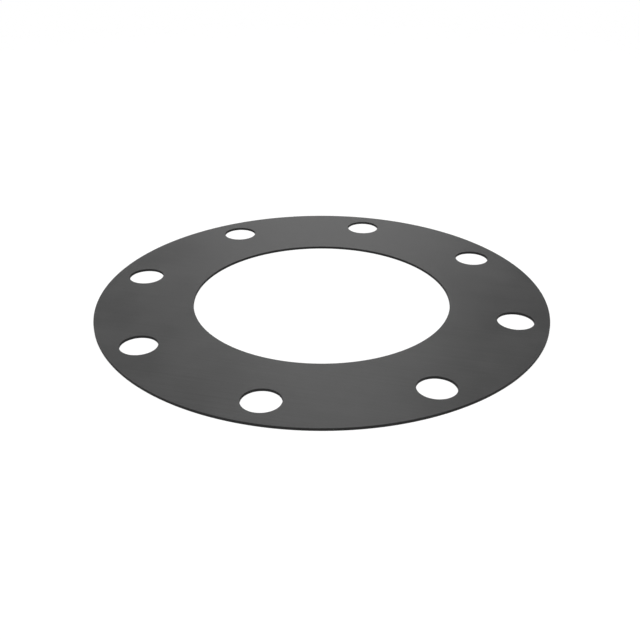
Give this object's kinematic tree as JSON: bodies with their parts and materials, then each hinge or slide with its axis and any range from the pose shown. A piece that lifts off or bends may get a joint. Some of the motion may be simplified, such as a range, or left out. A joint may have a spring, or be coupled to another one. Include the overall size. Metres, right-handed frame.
{
  "type": "round gasket",
  "caption": "Flat full-face flange gasket cut from black rubber sheet: a thin ring with a wide bore and a circle of bolt holes, which seals the joint between two bolted pipe flanges.",
  "frame": {"origin": "centre of the bore, on the lower face", "axes": "+Z along the bore axis, out of the upper face; +X through the centre of one bolt hole"},
  "size_m": [0.28, 0.28, 0.0016],
  "materials": {
    "rubber_sheet": "matt, smooth sheet"
  },
  "bodies": {
    "root": {"gasket": "rubber_sheet"}
  },
  "joints": []
}
